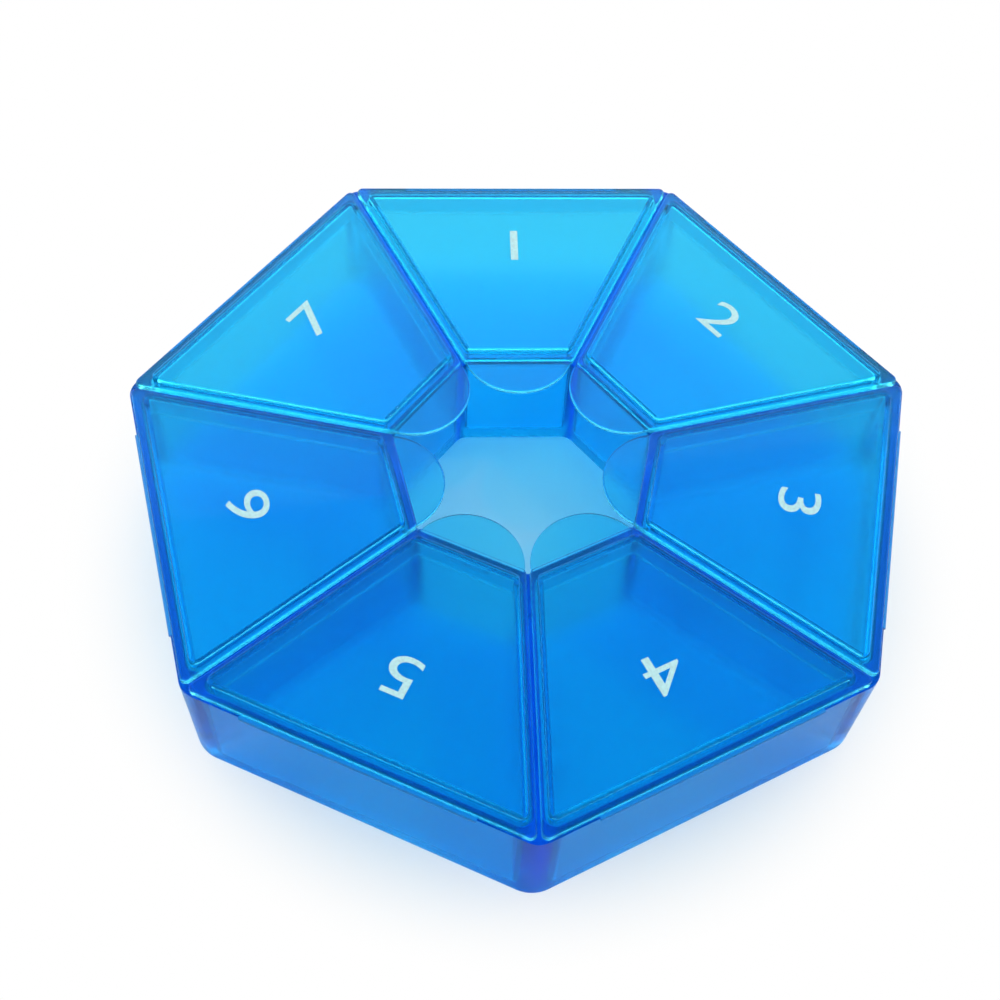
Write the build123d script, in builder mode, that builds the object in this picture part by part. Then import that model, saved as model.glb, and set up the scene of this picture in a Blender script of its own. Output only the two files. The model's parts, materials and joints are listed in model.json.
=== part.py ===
from build123d import *
from math import cos, radians, sin, sqrt, tan
import os

# A travel pill organizer: a seven-sided ring of seven compartments round an open hole, each with a lid
# that turns outwards on a thin moulded web along the rim. Millimetres, +Z up. The origin is on the
# ring's axis, in the face that it stands on. Day 1 is at +Y, and the days run clockwise seen from above.

# Ring
day_count = 7
rim_side = 49.0  # one side of the rim, between its corners before they are rounded
rim_height = 18.3
rim_corner_radius = 3.1
base_corner_radius = 4.9
base_edge_radius = 0.6
outer_wall = 1.4  # at the rim
wall_draft = 1.6  # degrees that the outer wall leans in, from the rim down

# Hole through the middle
hole_side = 16.0  # at the rim
hole_wall = 1.2  # at the rim
hole_corner_radius = 2.0
hole_draft = 0.8  # degrees that the hole widens, from the rim down
hole_rim_radius = 0.3

# Compartments
divider = 1.6  # between two compartments, at the rim
floor = 1.4
compartment_draft = 1.0  # degrees
compartment_corner_radius = 1.3  # at the rim
floor_edge_radius = 0.8

# Hinge webs: each is folded into a round bead along the rim, with a root on the outer wall
hinge_length = 32.4
hinge_fold_radius = 0.25
hinge_overhang = 0.1  # from the rim's outer edge out to the middle of the fold
hinge_root_depth = 0.7
hinge_clearance = 0.1  # between the fold and the lid that turns about it

# Lids: a thin flange over the rim, and inside it a raised panel with a skirt below
lid_seam = 0.5  # between two lids
lid_clearance = 0.1  # between a closed lid's flange and the rim
flange_thickness = 0.95
flange_corner_radius = 0.8
flange_edge_radius = 0.35
panel_rise = 0.75  # from the flange's top to the panel's top
panel_thickness = 1.1
panel_edge_radius = 0.35
skirt_depth = 2.6  # from the rim down into the compartment
skirt_wall = 0.8  # at the rim
skirt_clearance = 0.3
skirt_draft = 5.0  # degrees that the skirt leans in, which lets it swing out between the dividers
skirt_edge_radius = 0.3

# Finger tabs: a half moon on each lid's inner edge, a little lower than the flange's top
tab_reach = 5.4
tab_radius = 8.0
tab_thickness = 0.7
tab_edge_radius = 0.25

# Catch: a ridge on the skirt, in a shallow groove in the wall round the hole
catch_length = 6.0
catch_radius = 0.22
catch_depth = 0.8  # from the rim down to the ridge's middle
catch_clearance = 0.18

# Cuts run past the faces that they open by this much
overrun = 1.0

# Half of the angle that one compartment takes up, and its ratios
half_angle = radians(360 / day_count / 2)
slope = tan(half_angle)

# Distances from the ring's axis, square to a side
rim_reach = rim_side / 2 / slope
hole_reach = hole_side / 2 / slope
base_reach = rim_reach - rim_height * tan(radians(wall_draft))
hole_base_reach = hole_reach + rim_height * tan(radians(hole_draft))
hinge_reach = rim_reach + hinge_overhang
lid_reach = hinge_reach - hinge_fold_radius - hinge_clearance
compartment_inset = (rim_height - floor) * tan(radians(compartment_draft))
lid_height = rim_height + lid_clearance
skirt_gap = divider / 2 + skirt_clearance
skirt_inner_reach = hole_reach + hole_wall + skirt_clearance
skirt_outer_reach = rim_reach - outer_wall - skirt_clearance
skirt_corner_radius = compartment_corner_radius - skirt_clearance
skirt_inset = (skirt_depth + lid_clearance) * tan(radians(skirt_draft))
cavity_gap = skirt_gap + skirt_wall
cavity_inner_reach = skirt_inner_reach + skirt_wall
cavity_outer_reach = skirt_outer_reach - skirt_wall


def heading(day):
    """The direction of a day's compartment from the ring's axis, in degrees from +X."""
    return 90 - (day - 1) * 360 / day_count


def day_plane(day, height):
    """A level plane at a height, with its X axis out through the middle of a day's side."""
    return Plane.XY.rotated((0, 0, heading(day))).offset(height)


def day_section(day, reach, height):
    """An upright plane across a day's side: its X axis points out and its Y axis up."""
    angle = radians(heading(day))
    outwards = Vector(cos(angle), sin(angle), 0)
    return Plane(
        origin=outwards * reach + Vector(0, 0, height),
        x_dir=outwards,
        z_dir=Vector(sin(angle), -cos(angle), 0),
    )


def seven_sided(plane, reach, corner_radius):
    """A regular outline with one corner at -Y, whose sides lie at a distance from the axis."""
    with BuildSketch(plane) as outline:
        RegularPolygon(reach, day_count, major_radius=False, rotation=-90)
        fillet(outline.vertices(), corner_radius)
    return outline.sketch


def sector(plane, inner_reach, outer_reach, seam_gap, corner_radius):
    """One day's share of the ring, between two distances from the axis, clear of its two seams."""
    inner_half = inner_reach * slope - seam_gap / cos(half_angle)
    outer_half = outer_reach * slope - seam_gap / cos(half_angle)
    with BuildSketch(plane) as outline:
        with BuildLine():
            Polyline(
                (inner_reach, -inner_half),
                (outer_reach, -outer_half),
                (outer_reach, outer_half),
                (inner_reach, inner_half),
                close=True,
            )
        make_face()
        fillet(outline.vertices(), corner_radius)
    return outline.sketch


def catch_profile(day, clearance):
    """The catch ridge's round section, in the upright plane across a day's side."""
    with BuildSketch(day_section(day, skirt_inner_reach, rim_height - catch_depth)) as profile:
        Circle(catch_radius + clearance)
    return profile.sketch


# Tray: the outer wall leans in towards the base, where its corners are rounder, and the hole widens
with BuildPart() as tray:
    base_outline = seven_sided(Plane.XY, base_reach, base_corner_radius)
    rim_outline = seven_sided(Plane.XY.offset(rim_height), rim_reach, rim_corner_radius)
    loft([base_outline, rim_outline], ruled=True)
    extrude(
        seven_sided(Plane.XY, hole_base_reach, hole_corner_radius),
        amount=rim_height + overrun,
        taper=hole_draft,
        mode=Mode.SUBTRACT,
    )
    for day in range(1, day_count + 1):
        extrude(
            sector(
                day_plane(day, floor),
                hole_reach + hole_wall + compartment_inset,
                rim_reach - outer_wall - compartment_inset,
                divider / 2 + compartment_inset,
                compartment_corner_radius - compartment_inset,
            ),
            amount=rim_height - floor + overrun,
            taper=-compartment_draft,
            mode=Mode.SUBTRACT,
        )
    fillet(tray.edges().group_by(Axis.Z)[1], floor_edge_radius)
    fillet(tray.edges().group_by(Axis.Z)[0], base_edge_radius)
    hole_rim = tray.edges().group_by(Axis.Z)[-1].sort_by_distance((0, 0, rim_height))[: 2 * day_count]
    fillet(hole_rim, hole_rim_radius)
    for day in range(1, day_count + 1):
        extrude(
            catch_profile(day, catch_clearance),
            amount=catch_length / 2 + catch_clearance,
            both=True,
            mode=Mode.SUBTRACT,
        )


def make_tab(day):
    """A half moon that reaches over the hole, with its root in the lid above the wall round the hole."""
    centre = hole_reach - tab_reach + tab_radius
    root = hole_reach + hole_wall
    root_half = sqrt(tab_radius**2 - (centre - root) ** 2)
    with BuildPart() as tab:
        with BuildSketch(day_plane(day, lid_height)):
            with BuildLine():
                ThreePointArc((root, -root_half), (hole_reach - tab_reach, 0), (root, root_half))
                Line((root, root_half), (root, -root_half))
            make_face()
        extrude(amount=tab_thickness)
        fillet(tab.edges().filter_by(GeomType.CIRCLE), tab_edge_radius)
    return tab


def make_panel(day):
    """A lid's raised panel, from the flange's underside to the rounded edge at its top."""
    with BuildPart() as panel:
        extrude(
            sector(
                day_plane(day, lid_height),
                skirt_inner_reach,
                skirt_outer_reach,
                skirt_gap,
                skirt_corner_radius,
            ),
            amount=flange_thickness + panel_rise,
        )
        fillet(panel.edges().group_by(Axis.Z)[-1], panel_edge_radius)
    return panel


def make_lid(day):
    """A lid: the flange, the raised panel, the finger tab, the skirt, its cavity and the catch ridge."""
    panel = make_panel(day)
    tab = make_tab(day)
    with BuildPart() as lid:
        extrude(
            sector(
                day_plane(day, lid_height),
                hole_reach,
                lid_reach,
                lid_seam / 2,
                flange_corner_radius,
            ),
            amount=flange_thickness,
        )
        fillet(lid.edges().group_by(Axis.Z)[-1], flange_edge_radius)
        add(panel.part)
        add(tab.part)
        extrude(
            sector(
                day_plane(day, rim_height - skirt_depth),
                skirt_inner_reach + skirt_inset,
                skirt_outer_reach - skirt_inset,
                skirt_gap + skirt_inset,
                skirt_corner_radius - skirt_inset,
            ),
            amount=skirt_depth + lid_clearance,
            taper=-skirt_draft,
        )
        fillet(lid.edges().group_by(Axis.Z)[0], skirt_edge_radius)
        extrude(
            sector(
                day_plane(day, rim_height - skirt_depth - overrun),
                cavity_inner_reach,
                cavity_outer_reach,
                cavity_gap,
                skirt_corner_radius - skirt_wall,
            ),
            amount=overrun + skirt_depth + lid_clearance + flange_thickness + panel_rise - panel_thickness,
            mode=Mode.SUBTRACT,
        )
        extrude(catch_profile(day, 0), amount=catch_length / 2, both=True)
    return lid


def make_hinge(day):
    """A lid's web: a round fold along the rim, over a root that tapers down the outer wall."""
    lean = hinge_root_depth * tan(radians(wall_draft))
    with BuildPart() as hinge:
        with BuildSketch(day_section(day, rim_reach, rim_height)):
            with Locations((hinge_overhang, 0)):
                Circle(hinge_fold_radius)
            with BuildLine():
                Polyline(
                    (0, 0),
                    (-lean, -hinge_root_depth),
                    (hinge_overhang + hinge_fold_radius, 0),
                    close=True,
                )
            make_face()
            with BuildLine():
                Polyline(
                    (0, 0),
                    (-lean, -hinge_root_depth),
                    (-hinge_root_depth, -hinge_root_depth),
                    (-hinge_root_depth, 0),
                    close=True,
                )
            make_face(mode=Mode.SUBTRACT)
        extrude(amount=hinge_length / 2, both=True)
    return hinge


os.makedirs("parts", exist_ok=True)
tray.part.label = "tray"
export_step(tray.part, "parts/tray.step")
for day in range(1, day_count + 1):
    lid = make_lid(day)
    lid.part.label = f"lid_day_{day}"
    export_step(lid.part, f"parts/{lid.part.label}.step")
    hinge = make_hinge(day)
    hinge.part.label = f"hinge_day_{day}"
    export_step(hinge.part, f"parts/{hinge.part.label}.step")
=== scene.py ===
import json
from math import atan2, cos, pi, radians, sin

import bmesh
import bpy
from bpy.props import FloatProperty, FloatVectorProperty, PointerProperty
from bpy.types import Operator, Panel, PropertyGroup
from mathutils import Matrix, Vector


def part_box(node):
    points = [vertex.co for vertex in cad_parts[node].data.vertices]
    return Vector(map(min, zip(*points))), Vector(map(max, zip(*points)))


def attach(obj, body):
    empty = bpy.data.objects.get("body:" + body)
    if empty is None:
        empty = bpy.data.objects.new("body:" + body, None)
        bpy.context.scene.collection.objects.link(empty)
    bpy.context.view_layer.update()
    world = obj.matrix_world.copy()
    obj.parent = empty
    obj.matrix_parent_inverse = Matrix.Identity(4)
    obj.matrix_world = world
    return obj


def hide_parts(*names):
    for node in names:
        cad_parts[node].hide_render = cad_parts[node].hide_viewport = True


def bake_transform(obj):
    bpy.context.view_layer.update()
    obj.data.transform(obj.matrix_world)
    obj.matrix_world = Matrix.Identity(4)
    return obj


bl_info = {
    "name": "Travel Pill Organizer",
    "version": (1, 0, 0),
    "blender": (4, 5, 0),
    "location": "3D View > Sidebar > Pill Organizer",
    "description": "Gives a pill organizer its blue plastic, hinge webs, print and stage",
    "category": "Object",
}

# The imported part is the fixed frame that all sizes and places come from. Metres, +Z up.
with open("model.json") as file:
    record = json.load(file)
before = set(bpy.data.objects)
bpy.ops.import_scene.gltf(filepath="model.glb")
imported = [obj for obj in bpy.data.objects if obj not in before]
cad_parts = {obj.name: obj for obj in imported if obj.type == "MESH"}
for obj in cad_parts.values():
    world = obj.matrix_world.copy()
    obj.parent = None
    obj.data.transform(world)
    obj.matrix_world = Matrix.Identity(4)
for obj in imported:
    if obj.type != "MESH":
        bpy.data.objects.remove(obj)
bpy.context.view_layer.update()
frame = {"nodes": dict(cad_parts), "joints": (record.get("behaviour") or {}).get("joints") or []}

MM = 0.001
DAYS = range(1, len(frame["joints"]) + 1)
HINGES = {day: frame["joints"][day - 1] for day in DAYS}
RIM_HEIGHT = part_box("tray")[1].z
LID_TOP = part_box("lid_day_1")[1].z
WHITE = (1.0, 1.0, 1.0, 1.0)

# The plastic's surface: its gloss, and the slow waves that the mould leaves. Scales are per metre.
GLOSS_ROUGHNESS = 0.03
WAVE_SCALE = 90.0
WAVE_DETAIL = 1.0
WAVE_STRENGTH = 0.25
WAVE_DEPTH = 0.05 * MM

# Fold of a web, to each side of straight out from the hinge's axis
WEB_TURN = radians(110)
WEB_STEPS = 10

# Ink: its place on the lid, and its specks of thin ink
DIGIT_SHARE = 0.7  # height of a digit, as a share of the font's size
INK_SUNK = 0.25  # share of the ink's thickness that lies below the lid's top
INK_ROUGHNESS = 0.45
SPECK_SCALE = 2500.0
SPECK_DETAIL = 2.0
THIN_SHADE = 0.86
THIN_LEVEL = 0.3
FULL_LEVEL = 0.6

# Camera and floor
SENSOR_WIDTH = 36.0
NEAREST = 1 * MM
FARTHEST = 10.0
FLOOR_REACH = 2.0
FLOOR_DROP = 0.1 * MM
FLOOR_COLOUR = (0.95, 0.95, 0.95, 1.0)

# The studio brightens between these two directions, from -1 at the front to 1 at the back
FRONT_SIDE = -0.1
BACK_SIDE = 0.9

# Soft lamps: sizes and distances in metres, the level to which each lights a white floor, and turns
# from the back towards the right
LAMPS = {
    "window": {
        "width": 1.2,
        "height": 0.4,
        "level": 0.08,
        "turn": radians(-8),
        "elevation": radians(48),
        "distance": 1.3,
    },
    "spark": {
        "width": 0.08,
        "height": 0.08,
        "level": 0.05,
        "turn": radians(72),
        "elevation": radians(56),
        "distance": 1.2,
    },
}


def heading(day):
    """The direction from the ring's axis out through a day's side, in radians from +X."""
    x, y, _ = HINGES[day]["pos_m"]
    return atan2(y, x)


def day_matrix(day, reach, height):
    """Takes X along a day's side, Y outwards and Z up to a place on that day's middle line."""
    angle = heading(day)
    place = Vector((cos(angle) * reach, sin(angle) * reach, height))
    return Matrix.Translation(place) @ Matrix.Rotation(angle - pi / 2, 4, "Z")


class PILLBOX_PG_plastic(PropertyGroup):
    """The translucent moulded plastic."""

    colour: FloatVectorProperty(
        name="Colour",
        description="Tint that light takes on as it passes in and out of a piece",
        subtype="COLOR",
        size=3,
        min=0.0,
        max=1.0,
        default=(0.35, 0.88, 0.99),
    )
    body_colour: FloatVectorProperty(
        name="Body Colour",
        description="Colour that passes through a thick piece of the plastic",
        subtype="COLOR",
        size=3,
        min=0.0,
        max=1.0,
        default=(0.0, 0.875, 0.988),
    )
    density: FloatProperty(
        name="Density",
        description="How fast the body colour deepens with thickness, per metre",
        min=0.0,
        default=600.0,
    )
    roughness: FloatProperty(
        name="Roughness",
        description="Blur of what shows through the plastic",
        min=0.0,
        max=1.0,
        default=0.23,
    )
    gloss: FloatProperty(
        name="Gloss",
        description="Strength of the sharp reflections of the polished surface",
        min=0.0,
        max=1.0,
        default=0.1,
    )
    sheen_colour: FloatVectorProperty(
        name="Sheen Colour",
        description="Tint of the soft reflections",
        subtype="COLOR",
        size=3,
        min=0.0,
        max=1.0,
        default=(0.0, 0.5, 1.0),
    )
    shadow_colour: FloatVectorProperty(
        name="Shadow Colour",
        description="Tint that a shadow takes on with each surface that the light crosses",
        subtype="COLOR",
        size=3,
        min=0.0,
        max=1.0,
        default=(0.78, 0.925, 0.997),
    )
    index: FloatProperty(
        name="Refractive Index",
        description="How strongly the plastic bends light",
        min=1.0,
        max=2.0,
        default=1.45,
    )


class PILLBOX_PG_web(PropertyGroup):
    """The thin webs that hinge the lids."""

    length: FloatProperty(
        name="Length",
        description="Length of a web along the rim",
        unit="LENGTH",
        min=0.0,
        default=32.4 * MM,
    )
    thickness: FloatProperty(
        name="Thickness",
        description="Thickness of a web",
        unit="LENGTH",
        min=0.0,
        default=0.2 * MM,
    )
    bulge: FloatProperty(
        name="Bulge",
        description="Distance from the hinge's axis to the outside of the fold",
        unit="LENGTH",
        min=0.0,
        default=0.24 * MM,
    )
    root: FloatProperty(
        name="Root",
        description="Depth to which a web reaches down the wall, below the hinge's axis",
        unit="LENGTH",
        min=0.0,
        default=0.68 * MM,
    )
    reach: FloatProperty(
        name="Reach",
        description="Distance that a web reaches in from the hinge's axis to the lid",
        unit="LENGTH",
        min=0.0,
        default=0.45 * MM,
    )


class PILLBOX_PG_print(PropertyGroup):
    """The numbers printed on the lids."""

    height: FloatProperty(
        name="Height",
        description="Height of a number",
        unit="LENGTH",
        min=0.0,
        default=5.8 * MM,
    )
    reach: FloatProperty(
        name="Reach",
        description="Distance from the ring's axis to the middle of a number",
        unit="LENGTH",
        min=0.0,
        default=38.0 * MM,
    )
    stretch: FloatProperty(
        name="Stretch",
        description="Width of a number, as a multiple of the font's own",
        min=0.1,
        default=1.3,
    )
    ink: FloatProperty(
        name="Ink",
        description="Thickness of the ink on the lid",
        unit="LENGTH",
        min=0.0,
        default=0.03 * MM,
    )
    colour: FloatVectorProperty(
        name="Colour",
        description="Colour of the ink",
        subtype="COLOR",
        size=3,
        min=0.0,
        max=1.0,
        default=(0.54, 0.9, 0.94),
    )


class PILLBOX_PG_stage(PropertyGroup):
    """The camera, the lamps and the floor."""

    distance: FloatProperty(
        name="Distance",
        description="Distance from the camera to the point that it aims at",
        unit="LENGTH",
        default=245.90 * MM,
    )
    azimuth: FloatProperty(
        name="Azimuth",
        description="Direction that the camera stands in, from the front towards the right",
        subtype="ANGLE",
        default=radians(-4.239),
    )
    elevation: FloatProperty(
        name="Elevation",
        description="Height of the camera above the floor, as an angle",
        subtype="ANGLE",
        default=radians(56.155),
    )
    roll: FloatProperty(
        name="Roll",
        description="Turn of the camera about its line of sight",
        subtype="ANGLE",
        default=radians(3.139),
    )
    aim: FloatVectorProperty(
        name="Aim",
        description="Point on the floor that the camera aims at",
        unit="LENGTH",
        size=3,
        default=(-2.416 * MM, 5.579 * MM, 0.0),
    )
    back_light: FloatProperty(
        name="Back Light",
        description="Brightness of the studio behind the organizer",
        min=0.0,
        default=4.7,
    )
    front_light: FloatProperty(
        name="Front Light",
        description="Brightness of the studio on the camera's side",
        min=0.0,
        default=0.3,
    )
    overhead_light: FloatProperty(
        name="Overhead Light",
        description="Brightness of the studio overhead",
        min=0.0,
        default=0.25,
    )
    mirror_light: FloatProperty(
        name="Mirror Light",
        description="Brightest that the studio looks in a reflection, where 1 is white",
        min=0.0,
        default=0.9,
    )
    band_top: FloatProperty(
        name="Band Top",
        description="Elevation up to which the studio is bright",
        subtype="ANGLE",
        default=radians(30),
    )
    dim_from: FloatProperty(
        name="Dim From",
        description="Elevation from which the studio is as dim as overhead",
        subtype="ANGLE",
        default=radians(44),
    )
    # Painted light: a cyan that stands in for the light that the plastic throws on the floor,
    # painted into the floor's camera-only glow near the ring
    throw_colour: FloatVectorProperty(
        name="Throw Colour",
        description="Colour of the light that the plastic throws on the floor beside it",
        subtype="COLOR",
        size=3,
        min=0.0,
        max=1.0,
        default=(0.84, 0.97, 1.0),
    )
    # The floor's white beyond the ring is a painted glow that only the camera sees; it fades in
    # between these two distances and lightens the object's shadow there
    glow_start: FloatProperty(
        name="Glow Start",
        description="Distance from the ring's axis at which the floor's own white begins",
        unit="LENGTH",
        default=32 * MM,
    )
    glow_end: FloatProperty(
        name="Glow End",
        description="Distance from the ring's axis at which the floor is its own white alone",
        unit="LENGTH",
        default=66 * MM,
    )
    lens: FloatProperty(
        name="Lens",
        description="Focal length of the lens",
        unit="CAMERA",
        default=59.462,
    )


def new_material(name):
    """A material with an empty node tree and its output node."""
    material = bpy.data.materials.new(name)
    material.use_nodes = True
    tree = material.node_tree
    tree.nodes.clear()
    return material, tree, tree.nodes.new("ShaderNodeOutputMaterial")


def new_node(tree, kind, **values):
    """A node of a kind, with values for its inputs by name."""
    node = tree.nodes.new(kind)
    for name, value in values.items():
        node.inputs[name.replace("_", " ")].default_value = value
    return node


def plastic_material(plastic):
    """Glossy translucent plastic, tinted at its surfaces and through its thickness."""
    material, tree, output = new_material("blue_plastic")
    link = tree.links.new
    place = new_node(tree, "ShaderNodeTexCoord")
    shader = new_node(
        tree,
        "ShaderNodeBsdfPrincipled",
        Base_Color=(*plastic.colour, 1.0),
        Roughness=plastic.roughness,
        IOR=plastic.index,
        Transmission_Weight=1.0,
        Specular_Tint=(*plastic.sheen_colour, 1.0),
        Coat_Weight=plastic.gloss,
        Coat_Roughness=GLOSS_ROUGHNESS,
    )
    flow = new_node(tree, "ShaderNodeTexNoise", Scale=WAVE_SCALE, Detail=WAVE_DETAIL)
    link(place.outputs["Object"], flow.inputs["Vector"])
    waves = new_node(tree, "ShaderNodeBump", Strength=WAVE_STRENGTH, Distance=WAVE_DEPTH)
    link(flow.outputs["Fac"], waves.inputs["Height"])
    link(waves.outputs["Normal"], shader.inputs["Normal"])
    passing = new_node(tree, "ShaderNodeBsdfTransparent", Color=(*plastic.shadow_colour, 1.0))
    path = new_node(tree, "ShaderNodeLightPath")
    mix = new_node(tree, "ShaderNodeMixShader")
    link(path.outputs["Is Shadow Ray"], mix.inputs["Fac"])
    link(shader.outputs["BSDF"], mix.inputs[1])
    link(passing.outputs["BSDF"], mix.inputs[2])
    link(mix.outputs["Shader"], output.inputs["Surface"])
    body = new_node(
        tree,
        "ShaderNodeVolumeAbsorption",
        Color=(*plastic.body_colour, 1.0),
        Density=plastic.density,
    )
    link(body.outputs["Volume"], output.inputs["Volume"])
    return material


def print_material(ink):
    """Pale ink, a little darker in specks where it lies thin."""
    material, tree, output = new_material("white_print")
    link = tree.links.new
    place = new_node(tree, "ShaderNodeTexCoord")
    shader = new_node(tree, "ShaderNodeBsdfPrincipled", Roughness=INK_ROUGHNESS)
    cover = new_node(tree, "ShaderNodeTexNoise", Scale=SPECK_SCALE, Detail=SPECK_DETAIL)
    link(place.outputs["Object"], cover.inputs["Vector"])
    shades = new_node(tree, "ShaderNodeValToRGB")
    thin, full = shades.color_ramp.elements
    thin.position = THIN_LEVEL
    thin.color = (*[THIN_SHADE * part for part in ink.colour], 1.0)
    full.position = FULL_LEVEL
    full.color = (*ink.colour, 1.0)
    link(cover.outputs["Fac"], shades.inputs["Fac"])
    link(shades.outputs["Color"], shader.inputs["Base Color"])
    link(shader.outputs["BSDF"], output.inputs["Surface"])
    return material


def dress(thing, material):
    """Gives an object one material."""
    thing.data.materials.clear()
    thing.data.materials.append(material)


class PILLBOX_OT_plastic(Operator):
    """Gives the tray and the lids their plastic"""

    bl_idname = "pillbox.plastic"
    bl_label = "Plastic"

    def execute(self, context):
        material = plastic_material(context.scene.pillbox_plastic)
        for node in frame["nodes"].values():
            dress(node, material)
        return {"FINISHED"}


def web_path(web):
    """A web's middle line from the tray to the lid, as points out and up from the hinge's axis."""
    bend = web.bulge - web.thickness / 2
    path = [(-bend / 2, -web.root)]
    for step in range(WEB_STEPS + 1):
        turn = -WEB_TURN + 2 * WEB_TURN * step / WEB_STEPS
        path.append((bend * cos(turn), bend * sin(turn)))
    path.append((-web.reach, bend))
    return path


def make_web(web, day):
    """A strip that runs up the wall, folds round the hinge's axis and ends on the lid's edge."""
    path = web_path(web)
    shape = bmesh.new()
    bmesh.ops.create_grid(shape, x_segments=1, y_segments=len(path) - 1, size=web.length / 2)
    spacing = web.length / (len(path) - 1)
    for vertex in shape.verts:
        out, up = path[round((vertex.co.y + web.length / 2) / spacing)]
        vertex.co = (vertex.co.x, out, up)
    bmesh.ops.solidify(shape, geom=shape.faces[:], thickness=web.thickness)
    bmesh.ops.recalc_face_normals(shape, faces=shape.faces[:])
    reach = Vector(HINGES[day]["pos_m"][:2]).length
    bmesh.ops.transform(shape, matrix=day_matrix(day, reach, RIM_HEIGHT), verts=shape.verts)
    mesh = bpy.data.meshes.new(f"web_day_{day}")
    shape.to_mesh(mesh)
    shape.free()
    return bpy.data.objects.new(f"web_day_{day}", mesh)


class PILLBOX_OT_webs(Operator):
    """Replaces each hinge's stand-in by a web folded round the hinge's axis"""

    bl_idname = "pillbox.webs"
    bl_label = "Hinge Webs"

    def execute(self, context):
        web = context.scene.pillbox_web
        for day in DAYS:
            strip = make_web(web, day)
            context.scene.collection.objects.link(strip)
            dress(strip, bpy.data.materials["blue_plastic"])
            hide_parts(f"hinge_day_{day}")
            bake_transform(strip)
        return {"FINISHED"}


class PILLBOX_OT_numbers(Operator):
    """Prints a number on each lid"""

    bl_idname = "pillbox.numbers"
    bl_label = "Numbers"

    def execute(self, context):
        ink = context.scene.pillbox_print
        material = print_material(ink)
        for day in DAYS:
            letters = bpy.data.curves.new(f"number_{day}", "FONT")
            letters.body = str(day)
            letters.align_x = "CENTER"
            letters.size = ink.height / DIGIT_SHARE
            letters.extrude = ink.ink / 2
            text = bpy.data.objects.new(f"number_{day}_text", letters)
            mesh = bpy.data.meshes.new_from_object(text)
            bpy.data.objects.remove(text)
            low = min(vertex.co.y for vertex in mesh.vertices)
            high = max(vertex.co.y for vertex in mesh.vertices)
            left = min(vertex.co.x for vertex in mesh.vertices)
            right = max(vertex.co.x for vertex in mesh.vertices)
            mesh.transform(Matrix.Translation((-(left + right) / 2, -(low + high) / 2, 0)))
            scale = ink.height / (high - low)
            mesh.transform(Matrix.Diagonal((scale * ink.stretch, scale, 1, 1)))
            mesh.transform(day_matrix(day, ink.reach, LID_TOP + ink.ink * (0.5 - INK_SUNK)))
            number = bpy.data.objects.new(f"number_{day}", mesh)
            context.scene.collection.objects.link(number)
            dress(number, material)
            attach(number, f"lid_day_{day}")
        return {"FINISHED"}


def area_lamp(name, width, height, level, turn, elevation, distance):
    """A soft lamp that faces the origin and lights a white floor to a level, where 1 is white."""
    lamp = bpy.data.lights.new(name, "AREA")
    lamp.shape = "RECTANGLE"
    lamp.size = width
    lamp.size_y = height
    lamp.energy = level * (pi * distance) ** 2 / sin(elevation)
    place = distance * Vector((
        sin(turn) * cos(elevation),
        cos(turn) * cos(elevation),
        sin(elevation),
    ))
    holder = bpy.data.objects.new(name, lamp)
    holder.location = place
    holder.rotation_euler = (-place).to_track_quat("-Z", "Y").to_euler()
    bpy.context.scene.collection.objects.link(holder)


def make_camera(stage):
    """The camera at the photograph's viewing angle."""
    camera = bpy.data.cameras.new("camera")
    camera.sensor_width = SENSOR_WIDTH
    camera.lens = stage.lens
    camera.clip_start = NEAREST
    camera.clip_end = FARTHEST
    holder = bpy.data.objects.new("camera", camera)
    back = Vector((
        sin(stage.azimuth) * cos(stage.elevation),
        -cos(stage.azimuth) * cos(stage.elevation),
        sin(stage.elevation),
    ))
    level_right = (-back).cross(Vector((0, 0, 1))).normalized()
    level_up = level_right.cross(-back)
    right = level_right * cos(stage.roll) + level_up * sin(stage.roll)
    up = level_up * cos(stage.roll) - level_right * sin(stage.roll)
    turn = Matrix((right, up, back)).transposed().to_4x4()
    holder.matrix_world = Matrix.Translation(Vector(stage.aim) + back * stage.distance) @ turn
    bpy.context.scene.collection.objects.link(holder)
    bpy.context.scene.camera = holder


def map_range(tree, low, high, to_low, to_high):
    """A node that turns one range of values smoothly into another."""
    node = new_node(
        tree,
        "ShaderNodeMapRange",
        From_Min=low,
        From_Max=high,
        To_Min=to_low,
        To_Max=to_high,
    )
    node.interpolation_type = "SMOOTHSTEP"
    return node


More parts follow.
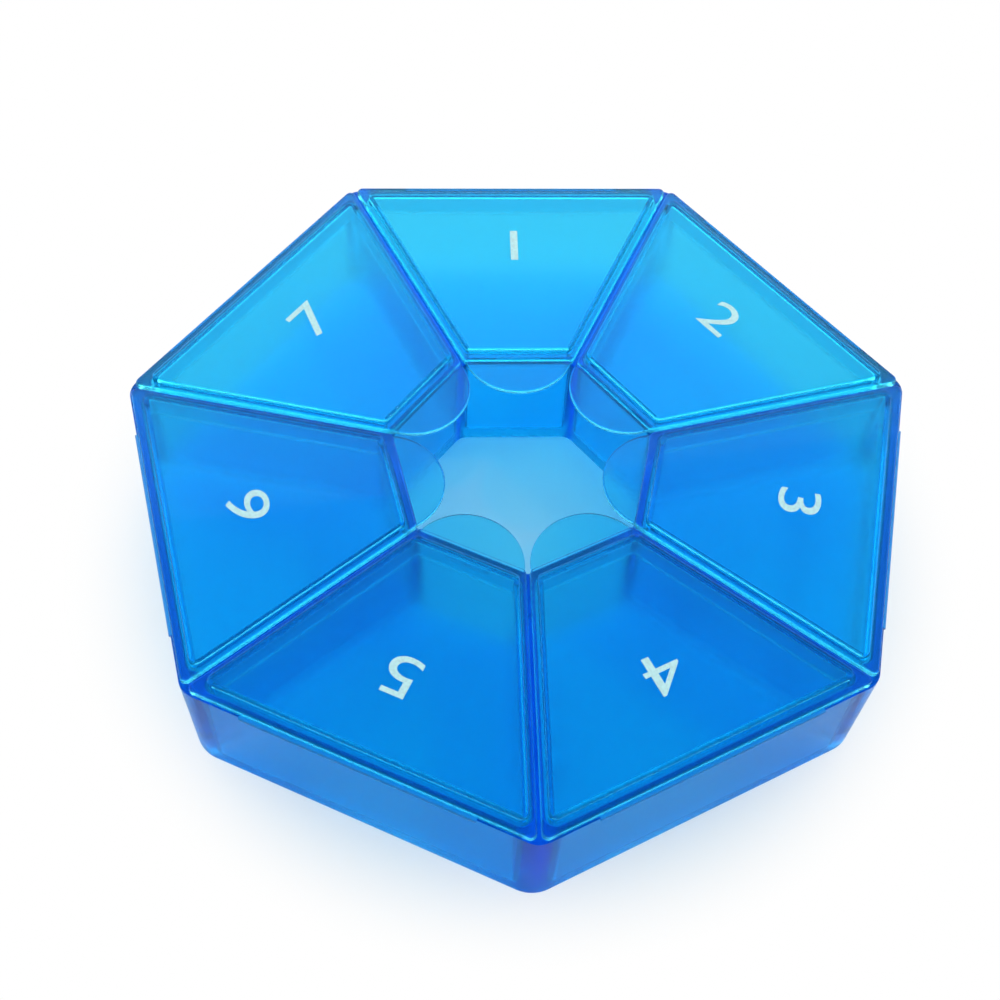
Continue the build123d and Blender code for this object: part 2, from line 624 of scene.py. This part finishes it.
def make_world(stage):
    """A studio: brightest low at the back, held back in reflections, white to the camera."""
    world = bpy.data.worlds.new("studio")
    bpy.context.scene.world = world
    world.use_nodes = True
    tree = world.node_tree
    tree.nodes.clear()
    link = tree.links.new
    output = tree.nodes.new("ShaderNodeOutputWorld")
    light = new_node(tree, "ShaderNodeBackground", Color=WHITE)
    place = new_node(tree, "ShaderNodeTexCoord")
    parts = new_node(tree, "ShaderNodeSeparateXYZ")
    link(place.outputs["Generated"], parts.inputs["Vector"])
    sides = map_range(tree, FRONT_SIDE, BACK_SIDE, stage.front_light, stage.back_light)
    link(parts.outputs["Y"], sides.inputs["Value"])
    rise = map_range(tree, sin(stage.band_top), sin(stage.dim_from), 0.0, 1.0)
    link(parts.outputs["Z"], rise.inputs["Value"])
    level = tree.nodes.new("ShaderNodeMix")
    level.inputs["B"].default_value = stage.overhead_light
    link(rise.outputs["Result"], level.inputs["Factor"])
    link(sides.outputs["Result"], level.inputs["A"])
    capped = new_node(tree, "ShaderNodeMath")
    capped.operation = "MINIMUM"
    capped.inputs[1].default_value = stage.mirror_light
    link(level.outputs["Result"], capped.inputs[0])
    path = new_node(tree, "ShaderNodeLightPath")
    mirrored = new_node(tree, "ShaderNodeMath")
    mirrored.operation = "GREATER_THAN"
    link(path.outputs["Is Glossy Ray"], mirrored.inputs[0])
    link(path.outputs["Is Transmission Ray"], mirrored.inputs[1])
    shown = tree.nodes.new("ShaderNodeMix")
    link(mirrored.outputs["Value"], shown.inputs["Factor"])
    link(level.outputs["Result"], shown.inputs["A"])
    link(capped.outputs["Value"], shown.inputs["B"])
    seen = tree.nodes.new("ShaderNodeMix")
    seen.inputs["B"].default_value = 1.0
    link(path.outputs["Is Camera Ray"], seen.inputs["Factor"])
    link(shown.outputs["Result"], seen.inputs["A"])
    link(seen.outputs["Result"], light.inputs["Strength"])
    link(light.outputs["Background"], output.inputs["Surface"])


def make_floor(stage):
    """A plain pale floor just under the base. To the camera it shows a painted white glow that
    fades in with distance from the ring's axis and lightens the shadow there, tinted near the ring
    with painted cyan light.
    """
    mesh = bpy.data.meshes.new("floor")
    shape = bmesh.new()
    bmesh.ops.create_grid(shape, x_segments=1, y_segments=1, size=FLOOR_REACH)
    bmesh.ops.translate(shape, verts=shape.verts, vec=(0, 0, -FLOOR_DROP))
    shape.to_mesh(mesh)
    shape.free()
    floor = bpy.data.objects.new("floor", mesh)
    bpy.context.scene.collection.objects.link(floor)
    material, tree, output = new_material("floor")
    link = tree.links.new
    paper = new_node(tree, "ShaderNodeBsdfDiffuse", Color=FLOOR_COLOUR)
    # Painted glow: an emission seen only by the camera, whose share grows with distance from the
    # ring's axis
    glow = new_node(tree, "ShaderNodeEmission", Strength=1.0)
    place = new_node(tree, "ShaderNodeTexCoord")
    away = tree.nodes.new("ShaderNodeVectorMath")
    away.operation = "LENGTH"
    link(place.outputs["Object"], away.inputs[0])
    share = map_range(tree, stage.glow_start, stage.glow_end, 0.0, 1.0)
    link(away.outputs["Value"], share.inputs["Value"])
    # Painted light: the glow is tinted with the painted cyan throw near the ring and turns white
    # away from it
    tint = tree.nodes.new("ShaderNodeMix")
    tint.data_type = "RGBA"
    tint.inputs["A"].default_value = (*stage.throw_colour, 1.0)
    tint.inputs["B"].default_value = WHITE
    link(share.outputs["Result"], tint.inputs["Factor"])
    link(tint.outputs["Result"], glow.inputs["Color"])
    path = new_node(tree, "ShaderNodeLightPath")
    seen = new_node(tree, "ShaderNodeMath")
    seen.operation = "MULTIPLY"
    link(share.outputs["Result"], seen.inputs[0])
    link(path.outputs["Is Camera Ray"], seen.inputs[1])
    mix = new_node(tree, "ShaderNodeMixShader")
    link(seen.outputs["Value"], mix.inputs["Fac"])
    link(paper.outputs["BSDF"], mix.inputs[1])
    link(glow.outputs["Emission"], mix.inputs[2])
    link(mix.outputs["Shader"], output.inputs["Surface"])
    dress(floor, material)


class PILLBOX_OT_stage(Operator):
    """Sets up the floor, the studio light and the camera"""

    bl_idname = "pillbox.stage"
    bl_label = "Stage"

    def execute(self, context):
        stage = context.scene.pillbox_stage
        make_world(stage)
        make_floor(stage)
        make_camera(stage)
        for name, lamp in LAMPS.items():
            area_lamp(name, **lamp)
        context.scene.view_settings.view_transform = "Standard"
        return {"FINISHED"}


class PILLBOX_PT_sidebar(Panel):
    """Lists the pieces of the organizer"""

    bl_label = "Pill Organizer"
    bl_idname = "PILLBOX_PT_sidebar"
    bl_space_type = "VIEW_3D"
    bl_region_type = "UI"
    bl_category = "Pill Organizer"

    def draw(self, context):
        layout = self.layout
        for operator in OPERATORS:
            layout.operator(operator.bl_idname)
        for name, group in GROUPS.items():
            box = layout.box()
            for value in group.__annotations__:
                box.prop(getattr(context.scene, name), value)


OPERATORS = (PILLBOX_OT_plastic, PILLBOX_OT_webs, PILLBOX_OT_numbers, PILLBOX_OT_stage)
GROUPS = {
    "pillbox_plastic": PILLBOX_PG_plastic,
    "pillbox_web": PILLBOX_PG_web,
    "pillbox_print": PILLBOX_PG_print,
    "pillbox_stage": PILLBOX_PG_stage,
}


def register():
    for group in GROUPS.values():
        bpy.utils.register_class(group)
    for name, group in GROUPS.items():
        setattr(bpy.types.Scene, name, PointerProperty(type=group))
    for operator in OPERATORS:
        bpy.utils.register_class(operator)
    bpy.utils.register_class(PILLBOX_PT_sidebar)


def unregister():
    bpy.utils.unregister_class(PILLBOX_PT_sidebar)
    for operator in reversed(OPERATORS):
        bpy.utils.unregister_class(operator)
    for name, group in GROUPS.items():
        delattr(bpy.types.Scene, name)
        bpy.utils.unregister_class(group)


def main():
    register()
    bpy.ops.pillbox.plastic()
    bpy.ops.pillbox.webs()
    bpy.ops.pillbox.numbers()
    bpy.ops.pillbox.stage()


if __name__ == "__main__":
    main()
